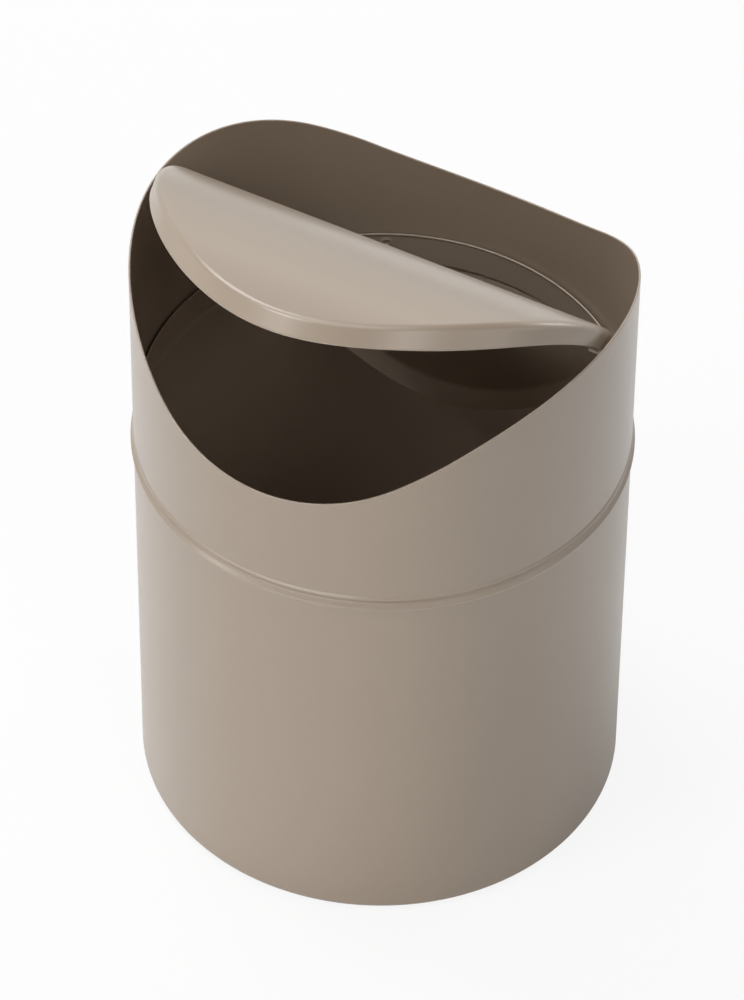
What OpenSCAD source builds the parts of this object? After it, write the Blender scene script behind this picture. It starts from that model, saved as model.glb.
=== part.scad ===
// Countertop trash can with a swing lid.
// A round sheet-steel can stands on four rubber feet. A hood slips over its stepped-in neck, and a curved
// lid swings in the hood on two studs. The origin is on the surface it stands on, under the can's centre.
// X runs along the lid's pivot line and Z points up.

/* [Can] */
// Outer radius of the can and of the hood
body_r = 60; // [50:1:80]
// Height of the shoulder that the hood stands on
shoulder_z = 108.9; // [80:0.1:150]
// Thickness of the sheet steel in both walls
sheet = 0.5; // [0.4:0.1:0.7]
// Outside radius of the rounded foot of the can
foot_corner_r = 3.5; // [2:0.5:8]
// Width of the flat edge turned in under the base plate
turned_edge_w = 6.5; // [4:0.5:10]
// How far the bead stands proud of the can
bead_out = 0.7; // [0.3:0.1:1]
// Height of the bead
bead_h = 2; // [1.7:0.1:3]

/* [Neck] */
// Height of the neck above the shoulder
neck_h = 9.1; // [6:0.1:14]
// Gap all round between the neck and the hood
neck_gap = 0.45; // [0.3:0.05:1]
// How far the neck's top edge leans in, so that the hood slips on easily
lead_in = 0.3; // [0:0.1:0.6]
// Height of that leaning edge
lead_h = 1; // [0.5:0.1:2]
// Number of dimples pressed out of the neck
dimple_count = 3; // [2:1:6]
// Angle of the first dimple round the can
dimple_turn = 118; // [0:1:359]
// Radius of the ball that shapes a dimple's outside
dimple_r = 1.5; // [1.2:0.1:2.5]
// How far a dimple stands out of the neck
dimple_out = 0.25; // [0.1:0.05:0.25]
// Distance of the dimples below the top of the neck
dimple_drop = 2.6; // [2.4:0.1:5]

/* [Base] */
// Thickness of the base plate
base_t = 0.5; // [0.4:0.1:1]
// How far the middle of the base plate is raised
base_rise = 0.8; // [0.4:0.1:1.5]
// Radius of a rubber foot
foot_r = 4.5; // [3:0.5:6]
// Gap between a rubber foot and the turned-in edge outside it, and the ramp inside it
foot_gap = 3.5; // [1:0.5:6]
// How far the feet hold the can off the surface
foot_stand = 0.6; // [0.3:0.1:1.5]

/* [Hood] */
// Height of the hood from its lower edge to the rim at the pivots
hood_h = 57; // [45:0.5:80]
// Gap between the hood's lower edge and the shoulder
seam_gap = 0.3; // [0.2:0.05:0.6]
// How far the rim dips half way between the pivots
rim_dip = 28.6; // [15:0.1:35]
// How far the hood's lower edge flares out
lip_out = 0.2; // [0.1:0.05:0.4]
// Height of that flare
lip_h = 1.4; // [1:0.1:3]

/* [Lid] */
// Gap all round between the lid and the hood
lid_gap = 1.7; // [1.5:0.1:3]
// Thickness of the lid's sheet
lid_t = 0.5; // [0.4:0.1:0.8]
// Height of the crest above the pivot line
lid_crest = 5.8; // [5.2:0.1:7]
// How far the lid's edge stands above the rim's low points when it is shut
lid_over_rim = 2.9; // [2:0.1:5]
// Height of the turned-down flange
lid_flange = 5.1; // [4:0.1:5.3]
// How far the lid is swung open where it is drawn
lid_open = 47.7; // [0:0.1:75]

/* [Pivot] */
// Distance of the pivot line below the rim's high points
pivot_drop = 7.3; // [5.5:0.1:12]
// Radius of a pivot stud
stud_r = 0.6; // [0.5:0.1:1.2]
// Running clearance of a stud in its hole
stud_fit = 0.05; // [0.02:0.01:0.1]
// How far a stud reaches past the inside of the lid's flange
stud_past = 3.2; // [1:0.1:6]
// Radius of a stud's welded foot
weld_r = 2.6; // [2:0.1:4]
// Thickness of a stud's welded foot
weld_t = 0.5; // [0.3:0.1:0.6]
// Radius of the lug in the flange that holds the hole
lug_r = 2; // [1.8:0.1:3]
// Radius of the nylon bush between the lug and the welded foot
bush_r = 1.8; // [1.5:0.1:3]

/* [Hidden] */
$fn = 96;

// Running gap between parts that move on each other, and overlap of a cutting shape past what it cuts
side_play = 0.15;
cut_over = 1;

// Can
inner_r = body_r - sheet;
turned_edge_r = body_r - foot_corner_r - turned_edge_w;
neck_r = inner_r - neck_gap;
neck_z = shoulder_z + neck_h;
bead_z = shoulder_z - bead_h / 2;
// The bead's outside is the arc that rises bead_out over a chord of bead_h
bead_r = (pow(bead_h / 2, 2) + pow(bead_out, 2)) / (2 * bead_out);
bead_axis_r = body_r + bead_out - bead_r;

// Base
base_z = foot_stand + sheet;
base_r = body_r - foot_corner_r;
foot_ring_r = turned_edge_r - foot_gap - foot_r;
base_flat_r = foot_ring_r - foot_r - foot_gap;
base_rise_r = base_flat_r - base_rise - base_t;

// Hood
hood_z = shoulder_z + seam_gap;
rim_z = hood_z + hood_h;
rim_arc_r = (pow(body_r, 2) + pow(rim_dip, 2)) / (2 * rim_dip);

// Lid and pivot
lid_r = inner_r - lid_gap;
lid_fall = rim_dip - pivot_drop + lid_crest - lid_over_rim;
lid_arc_r = (pow(lid_r, 2) + pow(lid_fall, 2)) / (2 * lid_fall);
pivot_z = rim_z - pivot_drop;
stud_end_x = lid_r - lid_t - stud_past;

paint = [0.66, 0.60, 0.54];
nylon = [0.90, 0.89, 0.85];
rubber = [0.16, 0.16, 0.16];

// Points on an arc, from one angle to another, both ends included
function arc(centre, r, from, to, steps = 8) = [
    for (i = [0 : steps])
        let (a = from + (to - from) * i / steps)
            [centre[0] + r * cos(a), centre[1] + r * sin(a)]
];

// Half section of the can's sheet. The outside runs up from the turned-in edge over the bead to the top of
// the neck, and the inside comes back down one sheet thickness behind it.
module can_section() {
    corner = [body_r - foot_corner_r, foot_stand + foot_corner_r];
    bead = [bead_axis_r, bead_z];
    bead_half = asin(bead_h / 2 / bead_r);
    groove_r = bead_r - sheet;
    groove_top = asin((bead_h / 2 - sheet) / groove_r);
    groove_foot = acos((inner_r - bead_axis_r) / groove_r);
    polygon(concat(
        [[turned_edge_r, foot_stand]],
        arc(corner, foot_corner_r, -90, 0),
        arc(bead, bead_r, -bead_half, bead_half, 12),
        [[neck_r, shoulder_z], [neck_r, neck_z - lead_h], [neck_r - lead_in, neck_z]],
        [[neck_r - lead_in - sheet, neck_z], [neck_r - sheet, neck_z - lead_h]],
        [[neck_r - sheet, shoulder_z - sheet]],
        arc(bead, groove_r, groove_top, -groove_foot, 12),
        arc(corner, foot_corner_r - sheet, 0, -90),
        [[turned_edge_r, foot_stand + sheet]]
    ));
}

// A ball of radius r at each dimple's place round the neck
module dimple_balls(r) {
    for (i = [0 : dimple_count - 1])
        rotate([0, 0, dimple_turn + i * 360 / dimple_count])
            translate([neck_r + dimple_out - dimple_r, 0, neck_z - dimple_drop])
                sphere(r = r);
}

// The dimples are pressed outward: a ball's cap outside the neck, and a smaller ball's hollow inside it.
module can_wall() {
    color(paint)
        difference() {
            union() {
                rotate_extrude() can_section();
                difference() {
                    dimple_balls(dimple_r);
                    translate([0, 0, shoulder_z])
                        cylinder(r = neck_r - sheet / 2, h = neck_h + cut_over);
                }
            }
            dimple_balls(dimple_r - sheet);
        }
}

// Pressed disc with a raised middle. It lies on the can's turned-in edge.
module base_plate() {
    color(paint)
        translate([0, 0, base_z])
            rotate_extrude()
                polygon([
                    [0, base_rise], [base_rise_r, base_rise], [base_flat_r, 0], [base_r, 0],
                    [base_r, base_t], [base_flat_r, base_t], [base_rise_r, base_rise + base_t],
                    [0, base_rise + base_t]
                ]);
}

// A rubber foot under the base plate. turn is its angle round the can.
module foot(turn) {
    edge = 0.4;
    color(rubber)
        rotate([0, 0, turn])
            translate([foot_ring_r, 0, 0])
                rotate_extrude()
                    polygon([[0, 0], [foot_r - edge, 0], [foot_r, edge], [foot_r, base_z], [0, base_z]]);
}

// Stretches a side view, drawn with Y across and Z up, to both sides along X
module along_x(half_len) {
    rotate([90, 0, 90])
        linear_extrude(height = 2 * half_len, center = true)
            children();
}

// Side view of all that lies under the saddle of the rim
module under_rim() {
    union() {
        translate([0, rim_z - rim_arc_r])
            circle(r = rim_arc_r);
        translate([-body_r - cut_over, 0])
            square([2 * (body_r + cut_over), rim_z - rim_arc_r]);
    }
}

module hood_wall() {
    color(paint)
        intersection() {
            translate([0, 0, hood_z])
                rotate_extrude()
                    polygon([
                        [inner_r, 0], [body_r + lip_out, 0], [body_r + lip_out, lip_h / 3], [body_r, lip_h],
                        [body_r, hood_h + cut_over], [inner_r, hood_h + cut_over]
                    ]);
            along_x(body_r + cut_over) under_rim();
        }
}

// Turns its children about Z and sets them on the pivot line: side 1 is the right end, side -1 the left
module at_pivot(side) {
    translate([0, 0, pivot_z])
        rotate([0, 0, side > 0 ? 0 : 180])
            children();
}

// Stud with a domed end, welded by its round foot to the inside of the hood and painted with it
module pivot_stud(side) {
    tip_r = stud_r / 2;
    color(paint)
        at_pivot(side)
            intersection() {
                rotate([0, 90, 0])
                    rotate_extrude()
                        polygon(concat(
                            [[0, stud_end_x]],
                            arc([stud_r - tip_r, stud_end_x + tip_r], tip_r, -90, 0, 4),
                            [[stud_r, inner_r - weld_t], [weld_r, inner_r - weld_t]],
                            [[weld_r, body_r], [0, body_r]]
                        ));
                cylinder(r = inner_r, h = 2 * (weld_r + cut_over), center = true, $fn = 720);
            }
}

// Nylon bush on the stud, between the lid's lug and the stud's welded foot
module pivot_bush(side) {
    color(nylon)
        at_pivot(side)
            translate([lid_r + side_play, 0, 0])
                rotate([0, 90, 0])
                    difference() {
                        cylinder(r = bush_r, h = inner_r - weld_t - lid_r - 2 * side_play);
                        translate([0, 0, -cut_over])
                            cylinder(r = stud_r + stud_fit, h = lid_gap + 2 * cut_over);
                    }
}

// Side view of the lid without its hollow: an arched band as deep as the flange, and the lugs at the pivot
module lid_side() {
    union() {
        difference() {
            translate([0, lid_crest - lid_arc_r])
                circle(r = lid_arc_r);
            translate([0, lid_crest - lid_arc_r - lid_flange])
                circle(r = lid_arc_r);
        }
        circle(r = lug_r);
        translate([-lug_r, 0])
            square([2 * lug_r, lid_crest - lid_t]);
    }
}

// The lid as it lies when shut, with the pivot line at the origin
module lid_shut() {
    reach = lid_r + cut_over;
    difference() {
        intersection() {
            along_x(reach) lid_side();
            cylinder(r = lid_r, h = 2 * reach, center = true);
        }
        intersection() {
            along_x(reach)
                translate([0, lid_crest - lid_arc_r])
                    circle(r = lid_arc_r - lid_t);
            cylinder(r = lid_r - lid_t, h = 2 * reach, center = true);
        }
        rotate([0, 90, 0])
            cylinder(r = stud_r + stud_fit, h = 2 * reach, center = true);
    }
}

module swing_lid() {
    color(paint)
        translate([0, 0, pivot_z])
            rotate([-lid_open, 0, 0])
                lid_shut();
}

can_wall();
base_plate();
foot(-90);  // foot_front
foot(0);  // foot_right
foot(90);  // foot_back
foot(180);  // foot_left
hood_wall();
pivot_stud(1);  // pivot_stud_right
pivot_stud(-1);  // pivot_stud_left
pivot_bush(1);  // pivot_bush_right
pivot_bush(-1);  // pivot_bush_left
swing_lid();
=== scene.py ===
import math

import bmesh
import bpy
from mathutils import Matrix, Vector


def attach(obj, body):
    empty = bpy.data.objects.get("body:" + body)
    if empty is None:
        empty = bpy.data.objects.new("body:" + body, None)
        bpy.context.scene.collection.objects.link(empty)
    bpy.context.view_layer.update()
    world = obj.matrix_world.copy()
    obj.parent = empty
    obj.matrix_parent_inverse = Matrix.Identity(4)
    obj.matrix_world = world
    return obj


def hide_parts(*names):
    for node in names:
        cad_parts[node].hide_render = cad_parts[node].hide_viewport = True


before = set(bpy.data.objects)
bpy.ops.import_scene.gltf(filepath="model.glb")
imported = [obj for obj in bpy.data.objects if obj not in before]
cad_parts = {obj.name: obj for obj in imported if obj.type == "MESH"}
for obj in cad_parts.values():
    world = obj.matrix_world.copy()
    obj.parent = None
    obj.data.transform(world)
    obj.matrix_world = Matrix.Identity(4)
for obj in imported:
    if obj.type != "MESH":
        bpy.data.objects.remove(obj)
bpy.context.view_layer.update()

scene = bpy.context.scene
MM = 0.001  # one millimetre in metres


# Camera. The photograph looks down into the mouth from the front right through a long lens. The lens, the
# distance and the small roll, pan and tilt put the can's outline where the photograph has it.
cam_lens = 205.15
cam_azimuth = 28.77
cam_elevation = 44.70
cam_distance = 1.390
cam_aim_height = 0.0816
cam_roll = 0.65
cam_pan = -0.10
cam_tilt = 0.05


def turned(degrees, axis):
    """Rotation by an angle in degrees about X, Y or Z."""
    return Matrix.Rotation(math.radians(degrees), 4, axis)


camera_data = bpy.data.cameras.new("camera")
camera_data.lens = cam_lens
camera_data.sensor_width = 36
camera_data.clip_start = 0.05
camera_data.clip_end = 20
camera = bpy.data.objects.new("camera", camera_data)
camera.matrix_world = (
    Matrix.Translation((0, 0, cam_aim_height))
    @ turned(cam_azimuth, "Z")
    @ turned(90 - cam_elevation, "X")
    @ Matrix.Translation((0, 0, cam_distance))
    @ turned(cam_roll, "Z")
    @ turned(-cam_pan, "Y")
    @ turned(cam_tilt, "X")
)
scene.collection.objects.link(camera)
scene.camera = camera
scene.view_settings.view_transform = "Standard"


# Studio. A white table in white surroundings, lit by nine soft boxes. The strongest are high behind the left,
# low in front, high at the left and overhead, and weaker ones fill in elsewhere. A faint even light is added.
# The white itself shows only to the camera and, with a smaller share on the table, in gloss.
room_light = 0.02
wall_top = 0.30  # sine of the elevation up to which the surroundings are white
wall_fade = 0.35
floor_half = 3.0
floor_white = 0.90
floor_glow = 0.88  # how much of the table's white the camera sees without shade
gloss_glow = 0.15  # and how much of it shows in gloss
lamp_distance = 1.6
lamps = [
    # name, azimuth from the camera's side, elevation, width and height of the box in metres, watts
    ("high_left", -57, 57, 0.4, 0.4, 6.0),
    ("low_left", -66, 12, 0.5, 0.4, 2.9),
    ("low_front", -30, 4.5, 1.2, 0.35, 6.8),
    ("high_right", 28, 40, 0.5, 0.5, 2.6),
    ("low_right", 62, 14, 0.6, 0.35, 0.6),
    ("far_right", 125, 20, 0.5, 0.5, 3.4),
    ("high_behind", -135, 60, 0.7, 0.7, 10.5),
    ("low_behind", 180, 40, 1.3, 1.1, 3.8),
    ("overhead", 0, 88, 1.0, 1.0, 6.0),
]


def put(tree, kind, feeds=None, **settings):
    """A new node. Feeds gives an input a value, or the output that drives it."""
    made = tree.nodes.new(kind)
    for name, value in settings.items():
        setattr(made, name, value)
    for name, value in (feeds or {}).items():
        if isinstance(value, bpy.types.NodeSocket):
            tree.links.new(value, made.inputs[name])
        else:
            made.inputs[name].default_value = value
    return made


def calc(tree, operation, *values):
    """The result of a Math node on up to three values or outputs."""
    return put(tree, "ShaderNodeMath", dict(enumerate(values)), operation=operation).outputs[0]


def seen_directly(tree, to_camera=1.0, to_gloss=1.0):
    """How much of a white surrounding shows to the camera, and how much in gloss and through glass."""
    path = put(tree, "ShaderNodeLightPath")
    mirrored = calc(tree, "MAXIMUM", path.outputs["Is Glossy Ray"], path.outputs["Is Transmission Ray"])
    to_eye = calc(tree, "MULTIPLY", path.outputs["Is Camera Ray"], to_camera)
    return calc(tree, "MAXIMUM", to_eye, calc(tree, "MULTIPLY", mirrored, to_gloss))


def light_room():
    """White surroundings that show to the camera and in gloss, and a faint even light on everything."""
    world = bpy.data.worlds.new("white_room")
    world.use_nodes = True
    tree = world.node_tree
    tree.nodes.clear()
    soft = put(tree, "ShaderNodeBackground", {"Color": (1, 1, 1, 1), "Strength": room_light})
    white = put(tree, "ShaderNodeBackground", {"Color": (1, 1, 1, 1), "Strength": 1.0})
    heading = put(tree, "ShaderNodeSeparateXYZ", {0: put(tree, "ShaderNodeTexCoord").outputs["Generated"]})
    wall = put(tree, "ShaderNodeMapRange", {
        "Value": heading.outputs["Z"], "From Min": wall_top, "From Max": wall_top + wall_fade,
        "To Min": 1.0, "To Max": 0.0,
    }, interpolation_type="SMOOTHSTEP")
    share = calc(tree, "MULTIPLY", seen_directly(tree), wall.outputs[0])
    mixed = put(tree, "ShaderNodeMixShader", {0: share, 1: soft.outputs[0], 2: white.outputs[0]})
    put(tree, "ShaderNodeOutputWorld", {"Surface": mixed.outputs[0]})
    scene.world = world


def hang_lamp(name, azimuth, elevation, width, height, watts):
    """A soft box that faces the can."""
    data = bpy.data.lights.new(name, "AREA")
    data.shape = "RECTANGLE"
    data.size = width
    data.size_y = height
    data.energy = watts
    lamp = bpy.data.objects.new(name, data)
    lamp.matrix_world = (
        Matrix.Translation((0, 0, cam_aim_height))
        @ turned(cam_azimuth + azimuth, "Z")
        @ turned(90 - elevation, "X")
        @ Matrix.Translation((0, 0, lamp_distance))
    )
    scene.collection.objects.link(lamp)


def lay_floor():
    """The white table. Its matt share takes the can's shadow, and its glowing share keeps it white."""
    material = bpy.data.materials.new("white_table")
    material.use_nodes = True
    tree = material.node_tree
    tree.nodes.clear()
    matt = put(tree, "ShaderNodeBsdfDiffuse", {"Color": (floor_white, floor_white, floor_white, 1)})
    glow = put(tree, "ShaderNodeEmission", {"Color": (1, 1, 1, 1), "Strength": 1.0})
    share = seen_directly(tree, floor_glow, gloss_glow)
    mixed = put(tree, "ShaderNodeMixShader", {0: share, 1: matt.outputs[0], 2: glow.outputs[0]})
    put(tree, "ShaderNodeOutputMaterial", {"Surface": mixed.outputs[0]})
    mesh = bpy.data.meshes.new("floor")
    corners = [(-1, -1), (1, -1), (1, 1), (-1, 1)]
    mesh.from_pydata([(x * floor_half, y * floor_half, 0) for x, y in corners], [], [(0, 1, 2, 3)])
    mesh.materials.append(material)
    floor = bpy.data.objects.new("floor", mesh)
    scene.collection.objects.link(floor)


light_room()
for lamp in lamps:
    hang_lamp(*lamp)
lay_floor()


# Can wall. One shell of 0.5 mm sheet steel, drawn and rolled: a rounded foot turned in under the base, a bead
# under the shoulder, and a neck for the hood to slip over. Three punched dimples in the neck grip the hood.
# It is coated inside and out with a smooth taupe powder coat of a satin gloss. Sizes are in millimetres.
body_r = 60.0
sheet = 0.5
eased_r = 0.2  # the coat rounds the corners of a cut edge
foot_stand = 0.6
foot_corner_r = 2.5
turned_edge_r = 50.0
bead_out_r = 0.55
bead_axis = (60.177, 107.08)  # radius and height of the middle of its roll
bead_flank = 36.0  # the bead's upper side leans this many degrees from upright
low_root_r = 1.8
high_root_r = 0.55
ledge_z = 109.06
ledge_corner_r = 0.65
neck_r = 59.05
neck_z = 118.0
neck_lean_z = 117.0
neck_lean = 0.3
neck_root_r = 0.55
dimple_count = 3
dimple_turn = 118.45  # degrees round from the right to the first one
dimple_z = 115.0
dimple_out = 0.25
dimple_pit = 0.60
dimple_lip = 0.28
bump_top_r, bump_foot_r = 0.15, 1.0
pit_floor_r, pit_edge_r = 0.35, 1.0
lip_top_r, lip_foot_r = 1.05, 1.75
dimple_zone = 1.8  # half the height of the band of fine rows that a dimple needs
dimple_rows = 23
dimple_gather = 0.88
can_ring_r = 50.0
can_segments = 288
merge_gap = 0.001

taupe = (0.375, 0.300, 0.232, 1)
taupe_rough = 0.33
taupe_relief = 0.003
satin_coat = 0.45
satin_rough = 0.22


def arc(centre, radius, start, end, steps):
    """Points on an arc from one angle to another, both ends included."""
    turns = [math.radians(start + (end - start) * i / steps) for i in range(steps + 1)]
    return [(centre[0] + radius * math.cos(a), centre[1] + radius * math.sin(a)) for a in turns]


def on_line(start, end, share):
    """The point at a share of the way from one point to another."""
    return start[0] + (end[0] - start[0]) * share, start[1] + (end[1] - start[1]) * share


def between(start, end, steps):
    """Points that divide a straight run, without its two ends."""
    return [on_line(start, end, i / steps) for i in range(1, steps)]


def steadied(path, margin=0.3):
    """Adds a point near each end of a long straight run, so that its shading stays flat."""
    steady = [path[0]]
    for start, end in zip(path, path[1:]):
        length = math.dist(start, end)
        if length > 3 * margin:
            steady += [on_line(start, end, share) for share in (margin / length, 1 - margin / length)]
        steady.append(end)
    return steady


def sheet_outline(path, thickness, edge_start=True, edge_end=True):
    """Outline of a sheet that follows a path through its middle. A cut edge reaches half the sheet's
    thickness past the end of the path, and its corners are eased by the coat."""
    half = thickness / 2
    left, right = [], []
    headings = []
    for i, point in enumerate(path):
        before = path[max(i - 1, 0)]
        after = path[min(i + 1, len(path) - 1)]
        heading = math.atan2(after[1] - before[1], after[0] - before[0])
        headings.append(heading)
        across = (-math.sin(heading) * half, math.cos(heading) * half)
        left.append((point[0] + across[0], point[1] + across[1]))
        right.append((point[0] - across[0], point[1] - across[1]))

    def cut_edge(centre, heading):
        """The two eased corners of a cut edge, from the left side over the end to the right side."""
        facing = math.degrees(heading)
        ahead = (math.cos(heading), math.sin(heading))
        flat = half - eased_r
        edge = []
        for side in (1, -1):
            corner = (centre[0] - ahead[1] * flat * side + ahead[0] * flat,
                      centre[1] + ahead[0] * flat * side + ahead[1] * flat)
            first = facing + (90 if side > 0 else 0)
            edge += arc(corner, eased_r, first, first - 90, steps=3)
        return edge

    end = cut_edge(path[-1], headings[-1]) if edge_end else []
    start = cut_edge(path[0], headings[0] + math.pi) if edge_start else []
    return left + end + right[::-1] + start


def section_curve(name, points, closed=True, ring_r=0.0):
    """A flat curve of a half section, drawn about the circle that it will be turned on. Points are radius and
    height in millimetres."""
    data = bpy.data.curves.new(name, "CURVE")
    data.dimensions = "3D"
    line = data.splines.new("POLY")
    line.points.add(len(points) - 1)
    for spot, (radius, height) in zip(line.points, points):
        spot.co = ((radius - ring_r) * MM, -height * MM, 0, 1)
    line.use_cyclic_u = closed
    curve = bpy.data.objects.new(name, data)
    scene.collection.objects.link(curve)
    return curve


def new_tree(name, inputs):
    """An empty Geometry Nodes tree with named inputs, its input node and its output node."""
    tree = bpy.data.node_groups.new(name, "GeometryNodeTree")
    tree.interface.new_socket("Geometry", in_out="INPUT", socket_type="NodeSocketGeometry")
    for label, kind in inputs:
        tree.interface.new_socket(label, in_out="INPUT", socket_type="NodeSocket" + kind)
    tree.interface.new_socket("Geometry", in_out="OUTPUT", socket_type="NodeSocketGeometry")
    return tree, put(tree, "NodeGroupInput"), put(tree, "NodeGroupOutput")


def build_turn_tree():
    """Turns a half section about Z. Its segments can be gathered where a small shape needs more of them."""
    tree, given, result = new_tree("turned_section", [
        ("Ring Radius", "Float"), ("Segments", "Int"), ("Gather Count", "Int"),
        ("Gather Angle", "Float"), ("Gather Strength", "Float"),
    ])
    ring = put(tree, "GeometryNodeCurvePrimitiveCircle", {
        "Resolution": given.outputs["Segments"], "Radius": given.outputs["Ring Radius"],
    })
    place = put(tree, "GeometryNodeInputPosition").outputs[0]
    part = put(tree, "ShaderNodeSeparateXYZ", {0: place})
    angle = calc(tree, "ARCTAN2", part.outputs["Y"], part.outputs["X"])
    count = given.outputs["Gather Count"]
    past = calc(tree, "SUBTRACT", angle, given.outputs["Gather Angle"])
    wave = calc(tree, "SINE", calc(tree, "MULTIPLY", count, past))
    shift = calc(tree, "DIVIDE", calc(tree, "MULTIPLY", wave, given.outputs["Gather Strength"]), count)
    moved = put(tree, "ShaderNodeVectorRotate", {
        "Vector": place, "Angle": calc(tree, "MULTIPLY", shift, -1.0),
    }, rotation_type="Z_AXIS")
    gathered = put(tree, "GeometryNodeSetPosition", {
        "Geometry": ring.outputs[0], "Position": moved.outputs[0],
    })
    swept = put(tree, "GeometryNodeCurveToMesh", {
        "Curve": gathered.outputs[0], "Profile Curve": given.outputs["Geometry"],
    })
    closed = put(tree, "GeometryNodeMergeByDistance", {
        "Geometry": swept.outputs[0], "Distance": merge_gap * MM,
    })
    tree.links.new(closed.outputs[0], result.inputs[0])
    return tree


def turn_inside(tree, given, gather_count=1, gather_angle=0.0, gather_strength=0.0):
    """The turned section inside another tree, which has the inputs Ring Radius and Segments."""
    feeds = {label: given.outputs[label] for label in ("Geometry", "Ring Radius", "Segments")}
    feeds |= {"Gather Count": gather_count, "Gather Angle": gather_angle, "Gather Strength": gather_strength}
    return put(tree, "GeometryNodeGroup", feeds, node_tree=turn_tree).outputs[0]


def diagonal(tree, one, other):
    """Length of the diagonal over two distances."""
    squares = [calc(tree, "POWER", distance, 2.0) for distance in (one, other)]
    return calc(tree, "SQRT", calc(tree, "ADD", *squares))


def smooth_step(tree, value, low, high, at_low, at_high):
    """A smooth ramp of a value between two limits."""
    ramp = put(tree, "ShaderNodeMapRange", {
        "Value": value, "From Min": low, "From Max": high, "To Min": at_low, "To Max": at_high,
    }, interpolation_type="SMOOTHSTEP")
    return ramp.outputs[0]


def push_out(tree, geometry, place, amount):
    """Moves each point away from the Z axis by an amount."""
    flat = put(tree, "ShaderNodeVectorMath", {0: place, 1: (1, 1, 0)}, operation="MULTIPLY").outputs[0]
    away = put(tree, "ShaderNodeVectorMath", {0: flat}, operation="NORMALIZE").outputs[0]
    offset = put(tree, "ShaderNodeVectorMath", {0: away, "Scale": amount}, operation="SCALE").outputs[0]
    return put(tree, "GeometryNodeSetPosition", {"Geometry": geometry, "Offset": offset}).outputs[0]


def finish_tree(tree, given, result, geometry):
    """Ends a tree: instances made real, smooth faces, and the finish set."""
    real = put(tree, "GeometryNodeRealizeInstances", {"Geometry": geometry})
    smooth = put(tree, "GeometryNodeSetShadeSmooth", {"Geometry": real.outputs[0], "Shade Smooth": True})
    coated = put(tree, "GeometryNodeSetMaterial", {
        "Geometry": smooth.outputs[0], "Material": given.outputs["Finish"],
    })
    tree.links.new(coated.outputs[0], result.inputs[0])


def build_can_tree():
    """Turns the can's section and punches the dimples: a bump outside, and inside a pit with a raised lip."""
    tree, given, result = new_tree("can_wall_shape", [
        ("Ring Radius", "Float"), ("Segments", "Int"), ("Neck Radius", "Float"), ("Sheet", "Float"),
        ("Dimple Count", "Int"), ("First Dimple", "Float"), ("Dimple Height", "Float"),
        ("Bump", "Float"), ("Pit", "Float"), ("Pit Lip", "Float"), ("Finish", "Material"),
    ])
    count, first = given.outputs["Dimple Count"], given.outputs["First Dimple"]
    shell = turn_inside(tree, given, count, first, dimple_gather)
    place = put(tree, "GeometryNodeInputPosition").outputs[0]
    part = put(tree, "ShaderNodeSeparateXYZ", {0: place})
    angle = calc(tree, "ARCTAN2", part.outputs["Y"], part.outputs["X"])
    radius = diagonal(tree, part.outputs["X"], part.outputs["Y"])
    half_pitch = calc(tree, "DIVIDE", math.pi, count)
    turn = calc(tree, "PINGPONG", calc(tree, "SUBTRACT", angle, first), half_pitch)
    across = calc(tree, "MULTIPLY", turn, radius)
    up = calc(tree, "SUBTRACT", part.outputs["Z"], given.outputs["Dimple Height"])
    far = diagonal(tree, across, up)
    half = calc(tree, "MULTIPLY", given.outputs["Sheet"], 0.5)
    inside = calc(tree, "LESS_THAN", radius, calc(tree, "SUBTRACT", given.outputs["Neck Radius"], half))
    bump = smooth_step(tree, far, bump_top_r * MM, bump_foot_r * MM, given.outputs["Bump"], 0.0)
    depth = calc(tree, "ADD", given.outputs["Pit"], given.outputs["Pit Lip"])
    pit = smooth_step(tree, far, pit_floor_r * MM, pit_edge_r * MM, depth, 0.0)
    raised = calc(tree, "MULTIPLY", given.outputs["Pit Lip"], -1.0)
    lip = smooth_step(tree, far, lip_top_r * MM, lip_foot_r * MM, raised, 0.0)
    inner = calc(tree, "MULTIPLY", inside, calc(tree, "ADD", pit, lip))
    outer = calc(tree, "MULTIPLY", calc(tree, "SUBTRACT", 1.0, inside), bump)
    punched = push_out(tree, shell, place, calc(tree, "ADD", inner, outer))
    finish_tree(tree, given, result, punched)
    return tree


def shaped(name, source, tree, sizes):
    """Runs a tree on a section curve, and leaves one plain mesh object with its place in its mesh."""
    modifier = source.modifiers.new("shape", "NODES")
    modifier.node_group = tree
    for socket in tree.interface.items_tree:
        if socket.in_out == "INPUT" and socket.name in sizes:
            modifier[socket.identifier] = sizes[socket.name]
    depsgraph = bpy.context.evaluated_depsgraph_get()
    mesh = bpy.data.meshes.new_from_object(source.evaluated_get(depsgraph), depsgraph=depsgraph)
    mesh.name = name
    bpy.data.objects.remove(source)
    piece = bpy.data.objects.new(name, mesh)
    scene.collection.objects.link(piece)
    return piece


def new_group(name, inputs, outputs):
    """An empty shader node group with named inputs and outputs."""
    group = bpy.data.node_groups.new(name, "ShaderNodeTree")
    for label, kind, value in inputs:
        socket = group.interface.new_socket(label, in_out="INPUT", socket_type="NodeSocket" + kind)
        socket.default_value = value
    for label, kind in outputs:
        group.interface.new_socket(label, in_out="OUTPUT", socket_type="NodeSocket" + kind)
    return group, put(group, "NodeGroupInput"), put(group, "NodeGroupOutput")


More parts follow.
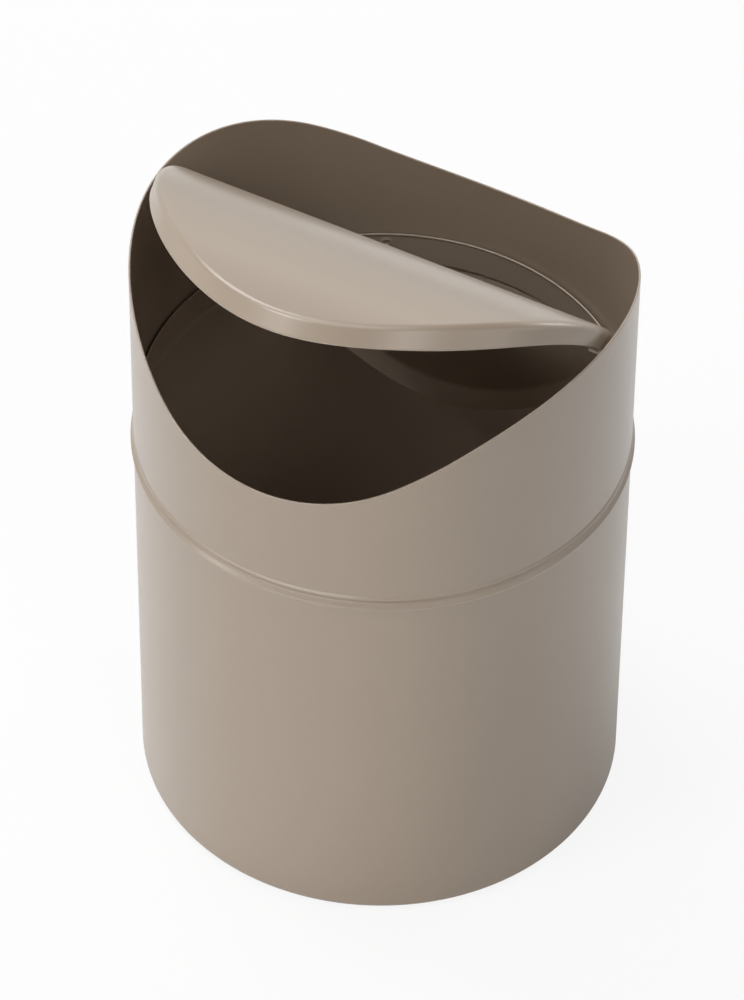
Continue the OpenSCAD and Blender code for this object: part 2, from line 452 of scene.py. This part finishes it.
def build_grain_group():
    """Fine grain of a coated or moulded surface: it varies a colour and a roughness, and gives a height."""
    group, given, result = new_group("fine_grain", [
        ("Color", "Color", (0.5, 0.5, 0.5, 1)), ("Color Spread", "Float", 0.05),
        ("Roughness", "Float", 0.5), ("Roughness Spread", "Float", 0.05),
        ("Grain", "Float", 1000.0), ("Peel", "Float", 500.0), ("Patch", "Float", 20.0),
        ("Peel Share", "Float", 0.5),
    ], [("Color", "Color"), ("Roughness", "Float"), ("Height", "Float")])
    place = put(group, "ShaderNodeTexCoord").outputs["Object"]

    def noise(scale, detail):
        cloud = put(group, "ShaderNodeTexNoise", {"Vector": place, "Scale": scale, "Detail": detail})
        return calc(group, "SUBTRACT", cloud.outputs["Fac"], 0.5)

    grain = noise(given.outputs["Grain"], detail=2.0)
    peel = noise(given.outputs["Peel"], detail=1.0)
    patch = noise(given.outputs["Patch"], detail=2.0)
    mottle = calc(group, "ADD", patch, calc(group, "MULTIPLY", grain, 0.5))
    tint = calc(group, "MULTIPLY_ADD", mottle, given.outputs["Color Spread"], 1.0)
    color = put(group, "ShaderNodeVectorMath", {0: given.outputs["Color"], "Scale": tint}, operation="SCALE")
    uneven = calc(group, "ADD", patch, peel)
    rough = calc(
        group, "MULTIPLY_ADD", uneven, given.outputs["Roughness Spread"], given.outputs["Roughness"]
    )
    height = put(group, "ShaderNodeMix", {
        "Factor": given.outputs["Peel Share"], "A": grain, "B": peel,
    }, data_type="FLOAT")
    group.links.new(color.outputs[0], result.inputs["Color"])
    group.links.new(rough, result.inputs["Roughness"])
    group.links.new(height.outputs[0], result.inputs["Height"])
    return group


def grained_material(name, values, relief, coat=0.0, coat_rough=0.0):
    """A material whose colour, roughness and bump come from the fine grain. Relief is the bump's depth."""
    material = bpy.data.materials.new(name)
    material.use_nodes = True
    tree = material.node_tree
    tree.nodes.clear()
    grain = put(tree, "ShaderNodeGroup", values, node_tree=grain_group)
    bump = put(tree, "ShaderNodeBump", {
        "Strength": 1.0, "Distance": relief, "Height": grain.outputs["Height"],
    })
    shader = put(tree, "ShaderNodeBsdfPrincipled", {
        "Base Color": grain.outputs["Color"], "Roughness": grain.outputs["Roughness"],
        "Normal": bump.outputs[0],
    })
    if coat:
        shader.inputs["Coat Weight"].default_value = coat
        shader.inputs["Coat Roughness"].default_value = coat_rough
    put(tree, "ShaderNodeOutputMaterial", {"Surface": shader.outputs[0]})
    return material


turn_tree = build_turn_tree()
grain_group = build_grain_group()
powder_coat = grained_material("taupe_powder_coat", {
    "Color": taupe, "Color Spread": 0.03, "Roughness": taupe_rough, "Roughness Spread": 0.05,
    "Grain": 2500.0, "Peel": 450.0, "Patch": 22.0, "Peel Share": 0.8,
}, taupe_relief * MM, satin_coat, satin_rough)


def can_path():
    """Middle of the can's sheet, from the turned-in edge up to the top of the neck. The bead's roll meets the
    wall in a hollow root below, and above it a straight flank runs to a second root."""
    half = sheet / 2
    wall_r = body_r - half
    foot = (body_r - foot_corner_r, foot_stand + foot_corner_r)
    bead_r = bead_out_r - half
    low_reach = wall_r + low_root_r - bead_axis[0]
    drop = math.sqrt((low_root_r + bead_r) ** 2 - low_reach ** 2)
    low_root = (wall_r + low_root_r, bead_axis[1] - drop)
    meet = math.degrees(math.atan2(drop, -low_reach))
    flank = math.radians(bead_flank)
    high_reach = wall_r + high_root_r - bead_axis[0]
    rise = (high_root_r + bead_r - high_reach * math.cos(flank)) / math.sin(flank)
    high_root = (wall_r + high_root_r, bead_axis[1] + rise)
    ledge_corner = (body_r - ledge_corner_r, ledge_z - ledge_corner_r)
    neck_mid = neck_r - half
    neck_root = (neck_mid + neck_root_r, ledge_z - half + neck_root_r)
    dimple_low, dimple_high = (neck_mid, dimple_z - dimple_zone), (neck_mid, dimple_z + dimple_zone)
    return (
        [(turned_edge_r + half, foot_stand + half)]
        + arc(foot, foot_corner_r - half, -90, 0, steps=10)
        + arc(low_root, low_root_r, 180, meet, steps=8)
        + arc(bead_axis, bead_r, meet - 180, bead_flank, steps=12)[1:]
        + arc(high_root, high_root_r, bead_flank - 180, -180, steps=6)
        + arc(ledge_corner, ledge_corner_r - half, 0, 90, steps=6)
        + arc(neck_root, neck_root_r, 270, 180, steps=6)[1:]
        + [dimple_low] + between(dimple_low, dimple_high, dimple_rows) + [dimple_high]
        + [(neck_mid, neck_lean_z), (neck_mid - neck_lean, neck_z - half)]
    )


can_section = section_curve("can_section", sheet_outline(steadied(can_path()), sheet), ring_r=can_ring_r)
can_wall = shaped("can_wall_coated", can_section, build_can_tree(), {
    "Ring Radius": can_ring_r * MM, "Segments": can_segments, "Neck Radius": neck_r * MM, "Sheet": sheet * MM,
    "Dimple Count": dimple_count, "First Dimple": math.radians(dimple_turn), "Dimple Height": dimple_z * MM,
    "Bump": dimple_out * MM, "Pit": dimple_pit * MM, "Pit Lip": dimple_lip * MM, "Finish": powder_coat,
})
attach(can_wall, "can")
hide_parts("can_wall")


# Base plate. A pressed disc of the same sheet with a raised middle. It lies on the can's turned-in edge,
# glued there all round, and is coated with the can.
base_r = 56.5
base_under_z = 1.1
base_rise = 0.8
base_flat_r = 34.0
base_rise_r = 32.7
ramp_ease, ramp_ease_z = 0.6, 0.15
base_ring_r = 30.0
base_segments = 192


def plain_turn_tree():
    """Turns a half section about Z, with nothing added."""
    tree, given, result = new_tree("plain_turned_shape", [
        ("Ring Radius", "Float"), ("Segments", "Int"), ("Finish", "Material"),
    ])
    finish_tree(tree, given, result, turn_inside(tree, given))
    return tree


half_t = sheet / 2
raised_z = base_under_z + base_rise + half_t
edge_z = base_under_z + half_t
base_path = [
    (0, raised_z), (base_rise_r - ramp_ease, raised_z),
    (base_rise_r, raised_z - ramp_ease_z), (base_flat_r, edge_z + ramp_ease_z),
    (base_flat_r + ramp_ease, edge_z), (base_r - half_t, edge_z),
]
plain_tree = plain_turn_tree()
base_outline = sheet_outline(steadied(base_path), sheet, edge_start=False)
base_section = section_curve("base_section", base_outline, closed=False, ring_r=base_ring_r)
base_plate = shaped("base_plate_coated", base_section, plain_tree, {
    "Ring Radius": base_ring_r * MM, "Segments": base_segments, "Finish": powder_coat,
})
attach(base_plate, "can")
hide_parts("base_plate")


# Rubber feet. Four moulded discs with a shallow dish in their soles, glued under the base plate so that the
# can stands on them and not on its edge.
foot_count = 4
foot_ring_r = 42.0
foot_r = 4.5
foot_edge_r = 0.35
foot_top_z = base_under_z
foot_dish_r = 2.6
foot_dish = 0.15
foot_dish_slope = 0.4
foot_sole_margin = 0.3
foot_top_ease = 0.1
foot_turn_r = 3.0
foot_segments = 48

rubber = grained_material("black_rubber", {
    "Color": (0.022, 0.022, 0.022, 1), "Color Spread": 0.3, "Roughness": 0.78, "Roughness Spread": 0.15,
    "Grain": 6000.0, "Peel": 1500.0, "Patch": 80.0, "Peel Share": 0.3,
}, relief=0.03 * MM)


def build_feet_tree():
    """One turned foot, repeated on a ring."""
    tree, given, result = new_tree("feet_on_a_ring", [
        ("Ring Radius", "Float"), ("Segments", "Int"), ("Foot Count", "Int"), ("Foot Ring", "Float"),
        ("Finish", "Material"),
    ])
    spots = put(tree, "GeometryNodeMeshCircle", {
        "Vertices": given.outputs["Foot Count"], "Radius": given.outputs["Foot Ring"],
    })
    feet = put(tree, "GeometryNodeInstanceOnPoints", {
        "Points": spots.outputs[0], "Instance": turn_inside(tree, given),
    })
    finish_tree(tree, given, result, feet.outputs[0])
    return tree


foot_outline = (
    [(0, foot_dish), (foot_dish_r - foot_dish_slope, foot_dish), (foot_dish_r, 0)]
    + [(foot_r - foot_edge_r - foot_sole_margin, 0)]
    + arc((foot_r - foot_edge_r, foot_edge_r), foot_edge_r, -90, 0, steps=4)
    + [(foot_r, foot_top_z - foot_top_ease), (foot_r - foot_top_ease, foot_top_z), (0, foot_top_z)]
)
foot_section = section_curve("foot_section", foot_outline, closed=False, ring_r=foot_turn_r)
rubber_feet = shaped("rubber_feet", foot_section, build_feet_tree(), {
    "Ring Radius": foot_turn_r * MM, "Segments": foot_segments,
    "Foot Count": foot_count, "Foot Ring": foot_ring_r * MM, "Finish": rubber,
})
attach(rubber_feet, "can")
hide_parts("foot_front", "foot_right", "foot_back", "foot_left")


# Hood wall. A tube of the same coated sheet that slips over the neck and stands on the shoulder. Its rim is
# cut as a saddle, high at the two pivots and low between them: on the flat sheet, a round crest that runs
# straight into a round hollow. Its lower edge swells a little over the shoulder.
hood_foot_z = 108.97
swell_z = 109.17
swell_out = 0.30
swell_h = 1.6
swell_rows = 16
rim_z = 165.1
rim_crest_r = 100.0
rim_hollow_r = 70.0
rim_slope = 28.0
rim_lean = 0.8  # how much lower the rim is at the right, and higher at the left
rim_steady = 1.5
steady_foot_z = 112.17  # the wall below this height keeps its rows level
pivot_z = 158.9
pivot_gather = 0.80
weld_mark_r = 2.4
weld_mark = 0.03
mark_flat_share = 0.55
mark_zone = 3.0  # half the height of the band of fine rows round a pivot
mark_rows = 14
hood_segments = 320


def rim_drop(tree, given, angle):
    """How far the rim is cut down at an angle round the tube, from its crest at a pivot to its hollow."""
    labels = ("Ring Radius", "Crest Radius", "Hollow Radius", "Rim Slope")
    tube_r, crest_r, hollow_r, slope = (given.outputs[label] for label in labels)
    quarter = calc(tree, "MULTIPLY", tube_r, math.pi / 2)
    along = calc(tree, "MULTIPLY", calc(tree, "PINGPONG", angle, math.pi / 2), tube_r)
    crest_end = calc(tree, "MULTIPLY", crest_r, calc(tree, "SINE", slope))
    hollow_end = calc(tree, "MULTIPLY", hollow_r, calc(tree, "SINE", slope))
    straight = calc(tree, "SUBTRACT", calc(tree, "SUBTRACT", quarter, hollow_end), crest_end)

    def arc_height(radius, reach):
        """Height of a circle's point over its centre, at a reach to the side."""
        squares = calc(tree, "SUBTRACT", calc(tree, "POWER", radius, 2.0), calc(tree, "POWER", reach, 2.0))
        return calc(tree, "SQRT", squares)

    crest = arc_height(crest_r, calc(tree, "MINIMUM", along, crest_end))
    crest_fall = calc(tree, "SUBTRACT", crest_r, crest)
    past_crest = calc(tree, "MAXIMUM", calc(tree, "SUBTRACT", along, crest_end), 0.0)
    run = calc(tree, "MINIMUM", past_crest, straight)
    to_hollow = calc(tree, "SUBTRACT", quarter, along)
    hollow = arc_height(hollow_r, calc(tree, "MINIMUM", to_hollow, hollow_end))
    hollow_top = calc(tree, "MULTIPLY", hollow_r, calc(tree, "COSINE", slope))
    straight_fall = calc(tree, "MULTIPLY_ADD", run, calc(tree, "TANGENT", slope), crest_fall)
    return calc(tree, "ADD", straight_fall, calc(tree, "SUBTRACT", hollow, hollow_top))


def build_hood_tree():
    """Turns the hood's section, bends its top into the saddle rim and dents the two weld marks outside."""
    tree, given, result = new_tree("hood_wall_shape", [
        ("Ring Radius", "Float"), ("Segments", "Int"), ("Crest Radius", "Float"), ("Hollow Radius", "Float"),
        ("Rim Slope", "Float"), ("Rim Lean", "Float"), ("Steady Top", "Float"), ("Steady Foot", "Float"),
        ("Pivot Height", "Float"), ("Mark Radius", "Float"), ("Mark Depth", "Float"), ("Finish", "Material"),
    ])
    tube = turn_inside(tree, given, gather_count=2, gather_strength=pivot_gather)
    place = put(tree, "GeometryNodeInputPosition").outputs[0]
    part = put(tree, "ShaderNodeSeparateXYZ", {0: place})
    angle = calc(tree, "ARCTAN2", part.outputs["Y"], part.outputs["X"])
    lean = calc(tree, "MULTIPLY", calc(tree, "COSINE", angle), given.outputs["Rim Lean"])
    drop = calc(tree, "ADD", rim_drop(tree, given, angle), lean)
    share = put(tree, "ShaderNodeMapRange", {
        "Value": part.outputs["Z"], "From Min": given.outputs["Steady Foot"],
        "From Max": given.outputs["Steady Top"], "To Min": 0.0, "To Max": -1.0,
    })
    lowered = put(tree, "ShaderNodeCombineXYZ", {"Z": calc(tree, "MULTIPLY", drop, share.outputs[0])})
    saddle = put(tree, "GeometryNodeSetPosition", {"Geometry": tube, "Offset": lowered.outputs[0]}).outputs[0]
    up = calc(tree, "SUBTRACT", part.outputs["Z"], given.outputs["Pivot Height"])
    far = diagonal(tree, up, part.outputs["Y"])
    mark_r = given.outputs["Mark Radius"]
    depth = calc(tree, "MULTIPLY", given.outputs["Mark Depth"], -1.0)
    dent = smooth_step(tree, far, calc(tree, "MULTIPLY", mark_r, mark_flat_share), mark_r, depth, 0.0)
    radius = diagonal(tree, part.outputs["X"], part.outputs["Y"])
    outside = calc(tree, "GREATER_THAN", radius, (body_r - half_t) * MM)
    marked = push_out(tree, saddle, place, calc(tree, "MULTIPLY", dent, outside))
    finish_tree(tree, given, result, marked)
    return tree


def hood_path():
    """Middle of the hood's sheet, from its swelled lower edge up to the rim."""
    wall_r = body_r - half_t
    path = [(wall_r, hood_foot_z + half_t)]
    for row in range(1, swell_rows + 1):
        share = row / swell_rows
        out = swell_out * (1 - math.cos(2 * math.pi * share)) / 2
        path.append((wall_r + out, swell_z + swell_h * share))
    mark_low, mark_high = (wall_r, pivot_z - mark_zone), (wall_r, pivot_z + mark_zone)
    path += [mark_low] + between(mark_low, mark_high, mark_rows) + [mark_high]
    return path + [(wall_r, rim_z - half_t)]


hood_section = section_curve("hood_section", sheet_outline(steadied(hood_path()), sheet), ring_r=body_r)
hood_wall = shaped("hood_wall_coated", hood_section, build_hood_tree(), {
    "Ring Radius": body_r * MM, "Segments": hood_segments, "Crest Radius": rim_crest_r * MM,
    "Hollow Radius": rim_hollow_r * MM, "Rim Slope": math.radians(rim_slope), "Rim Lean": rim_lean * MM,
    "Steady Top": (rim_z - rim_steady) * MM, "Steady Foot": steady_foot_z * MM, "Pivot Height": pivot_z * MM,
    "Mark Radius": weld_mark_r * MM, "Mark Depth": weld_mark * MM, "Finish": powder_coat,
})
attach(hood_wall, "hood")
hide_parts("hood_wall")


# Pivot studs. Two steel pins with a domed end and a wide foot, welded to the inside of the hood before it is
# coated, so that the weld's small fillet and the pin carry the same taupe coat.
stud_r = 0.6
stud_dome_r = 0.3
stud_steady = 0.3  # straight run left before the fillet
stud_end_x = 54.1
weld_r = 2.6
weld_x = 59.0
weld_fillet_r = 0.5
weld_edge_r = 0.15
inner_r = 59.5
weld_back_x = 59.48
wall_reach = 0.1  # points this near the wall's inside are laid against it
stud_ring_r = 1.5
pin_segments = 48


def on_pivot(side):
    """Lays a turned piece along the pivot line. Its Z runs outward, and side is 1 at the right."""
    facing = turned(0 if side > 0 else 180, "Z")
    return Matrix.Translation((0, 0, pivot_z * MM)) @ facing @ turned(90, "Y")


def joined(name, parts):
    """One mesh object from several, with each one's place moved into its mesh."""
    mesh = bpy.data.meshes.new(name)
    whole = bmesh.new()
    for part, matrix in parts:
        part.data.transform(matrix)
        whole.from_mesh(part.data)
    bmesh.ops.remove_doubles(whole, verts=whole.verts, dist=merge_gap / 2 * MM)
    bmesh.ops.recalc_face_normals(whole, faces=whole.faces)
    whole.to_mesh(mesh)
    whole.free()
    for material in parts[0][0].data.materials:
        mesh.materials.append(material)
    for part, _ in parts:
        bpy.data.objects.remove(part)
    mesh.shade_smooth()
    piece = bpy.data.objects.new(name, mesh)
    scene.collection.objects.link(piece)
    return piece


def pivot_pair(name, outline, ring_r, finish, closed):
    """A turned piece at both ends of the pivot line."""
    parts = []
    for side in (1, -1):
        section = section_curve(name + "_section", outline, closed=closed, ring_r=ring_r)
        one = shaped(name + "_part", section, plain_tree, {
            "Ring Radius": ring_r * MM, "Segments": pin_segments, "Finish": finish,
        })
        parts.append((one, on_pivot(side)))
    return joined(name, parts)


stud_outline = (
    [(0, stud_end_x)]
    + arc((stud_r - stud_dome_r, stud_end_x + stud_dome_r), stud_dome_r, -90, 0, steps=5)
    + [(stud_r, weld_x - weld_fillet_r - stud_steady)]
    + arc((stud_r + weld_fillet_r, weld_x - weld_fillet_r), weld_fillet_r, 180, 90, steps=6)
    + arc((weld_r - weld_edge_r, weld_x + weld_edge_r), weld_edge_r, -90, 0, steps=4)
    + [(weld_r, weld_back_x), (0, weld_back_x)]
)
studs = pivot_pair("pivot_studs", stud_outline, stud_ring_r, powder_coat, closed=False)
for corner in studs.data.vertices:
    if abs(corner.co.x) > (inner_r - wall_reach) * MM:
        wall_x = math.sqrt((inner_r * MM) ** 2 - corner.co.y ** 2)
        corner.co.x = math.copysign(wall_x, corner.co.x)
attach(studs, "hood")
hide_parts("pivot_stud_right", "pivot_stud_left")


# Pivot bushes. Thin natural nylon washers on the pins. They keep the lid's lugs off the weld feet, so that
# the two coats don't rub.
bush_r = 1.8
bush_bore_r = 0.65
bush_from, bush_to = 57.95, 58.85
bush_edge = 0.12
bush_ring_r = 1.0

nylon = grained_material("natural_nylon", {
    "Color": (0.76, 0.74, 0.68, 1), "Color Spread": 0.06, "Roughness": 0.45, "Roughness Spread": 0.1,
    "Grain": 5000.0, "Peel": 1200.0, "Patch": 60.0, "Peel Share": 0.5,
}, relief=0.01 * MM)
bush_outline = (
    arc((bush_r - bush_edge, bush_from + bush_edge), bush_edge, -90, 0, steps=3)
    + arc((bush_r - bush_edge, bush_to - bush_edge), bush_edge, 0, 90, steps=3)
    + arc((bush_bore_r + bush_edge, bush_to - bush_edge), bush_edge, 90, 180, steps=3)
    + arc((bush_bore_r + bush_edge, bush_from + bush_edge), bush_edge, 180, 270, steps=3)
)
bushes = pivot_pair("pivot_bushes", bush_outline, bush_ring_r, nylon, closed=True)
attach(bushes, "hood")
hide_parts("pivot_bush_right", "pivot_bush_left")


# Swing lid. One pressing of coated sheet: a disc curved like a piece of a large tube, with a soft fold and a
# turned-down flange. A lug at each end of the pivot line is pierced for the pin. The lid rests half open,
# front end up.
lid_r = 57.8
lid_t = 0.5
lid_arc_r = 81.13
lid_crest = 5.8
lid_fold_r = 2.2
lid_flange = 5.1
flange_deeper = 0.72
flange_deeper_right = 0.5
flange_margin = 0.25
lid_open = 47.7  # degrees from flat
lug_r = 2.0
lug_blend = 0.6
lid_bore_r = 0.65
bore_segments = 40
lid_columns = 288
lid_gather = 0.9
plate_rows = 24
fold_rows = 12
edge_rows = 6


def lid_height(y):
    """Height of the curved plate above the pivot line."""
    return lid_crest - lid_arc_r + math.sqrt(lid_arc_r ** 2 - y ** 2)


def flange_foot(y, turn):
    """Height of the flange's lower edge. It follows the plate's curve, a little deeper between the lugs and
    the two ends, and is round under the lugs."""
    deeper = math.sin(2 * turn) ** 4 * (flange_deeper + flange_deeper_right * math.cos(turn))
    foot = lid_height(y) - lid_flange - deeper
    reach = abs(y)
    if reach < lug_r:
        return -math.sqrt(lug_r ** 2 - reach ** 2)
    if reach < lug_r + lug_blend:
        share = (reach - lug_r) / lug_blend
        return foot * (1 - (1 - share) ** 2)
    return foot


def lid_column(turn):
    """Points on the outside of the lid at one angle, from its centre to the flange's lower edge."""
    sine, cosine = math.sin(turn), math.cos(turn)

    def slope_at(reach):
        """How steeply the plate falls at a reach from the centre."""
        y = reach * sine
        return math.atan(y * sine / math.sqrt(lid_arc_r ** 2 - y ** 2))

    slope = slope_at(lid_r)
    fold_start = lid_r - lid_fold_r * (1 - math.sin(slope))
    slope = slope_at(fold_start)
    reaches = [fold_start * i / plate_rows for i in range(plate_rows)]
    profile = [(reach, lid_height(reach * sine)) for reach in reaches]
    start_z = lid_height(fold_start * sine)
    centre = (fold_start - lid_fold_r * math.sin(slope), start_z - lid_fold_r * math.cos(slope))
    fold = arc(centre, lid_fold_r, 90 - math.degrees(slope), 0, fold_rows)
    low = (fold[-1][0], flange_foot(fold[-1][0] * sine, turn) + lid_t / 2)
    profile += fold + steadied([fold[-1], low], flange_margin)[1:-1] + [low]
    return [Vector((reach * cosine, reach * sine, height)) for reach, height in profile]


def lid_mesh():
    """Both faces of the lid's sheet and its round edge, from the outside's points and their normals."""
    turns = [2 * math.pi * i / lid_columns for i in range(lid_columns)]
    turns = [a - lid_gather * math.sin(2 * a) / 2 for a in turns]
    outside = [lid_column(a) for a in turns]
    rows = len(outside[0])
    lid = bmesh.new()
    rings = []
    for i, column in enumerate(outside):
        before, after = outside[i - 1], outside[(i + 1) % lid_columns]
        face, back = [], []
        for j in range(rows):
            along = column[min(j + 1, rows - 1)] - column[max(j - 1, 0)]
            around = after[j] - before[j]
            normal = Vector((0, 0, 1)) if j == 0 else along.cross(around).normalized()
            face.append(column[j])
            back.append(column[j] - normal * lid_t)
        down = (column[-1] - column[-2]).normalized()
        middle = (face[-1] + back[-1]) / 2
        across = (face[-1] - back[-1]) / 2
        edge = []
        for k in range(1, edge_rows):
            bend = math.pi * k / edge_rows
            edge.append(middle + across * math.cos(bend) + down * (lid_t / 2) * math.sin(bend))
        rings.append([lid.verts.new(point * MM) for point in face + edge + back[::-1]])
    for i, ring in enumerate(rings):
        neighbour = rings[(i + 1) % lid_columns]
        for j in range(len(ring) - 1):
            lid.faces.new((ring[j], ring[j + 1], neighbour[j + 1], neighbour[j]))
    bmesh.ops.remove_doubles(lid, verts=lid.verts, dist=merge_gap / 2 * MM)
    bmesh.ops.recalc_face_normals(lid, faces=lid.faces)
    mesh = bpy.data.meshes.new("swing_lid")
    lid.to_mesh(mesh)
    lid.free()
    return mesh


def drilled(name, mesh, radius, half_length):
    """Cuts a round hole through a mesh along X and leaves a plain mesh."""
    cutter_mesh = bpy.data.meshes.new("bore")
    bore = bmesh.new()
    bmesh.ops.create_cone(
        bore, cap_ends=True, segments=bore_segments, radius1=radius * MM, radius2=radius * MM,
        depth=2 * half_length * MM, matrix=turned(90, "Y"),
    )
    bore.to_mesh(cutter_mesh)
    bore.free()
    cutter = bpy.data.objects.new("bore", cutter_mesh)
    scene.collection.objects.link(cutter)
    raw = bpy.data.objects.new(name + "_raw", mesh)
    scene.collection.objects.link(raw)
    cut = raw.modifiers.new("bore", "BOOLEAN")
    cut.object = cutter
    cut.operation = "DIFFERENCE"
    cut.solver = "EXACT"
    depsgraph = bpy.context.evaluated_depsgraph_get()
    done = bpy.data.meshes.new_from_object(raw.evaluated_get(depsgraph), depsgraph=depsgraph)
    done.name = name
    bpy.data.objects.remove(raw)
    bpy.data.objects.remove(cutter)
    return done


lid_done = drilled("swing_lid_coated", lid_mesh(), lid_bore_r, lid_r + 1)
lid_done.transform(Matrix.Translation((0, 0, pivot_z * MM)) @ turned(-lid_open, "X"))
lid_done.materials.clear()
lid_done.materials.append(powder_coat)
lid_done.shade_smooth()
swing_lid = bpy.data.objects.new("swing_lid_coated", lid_done)
scene.collection.objects.link(swing_lid)
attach(swing_lid, "lid")
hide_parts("swing_lid")
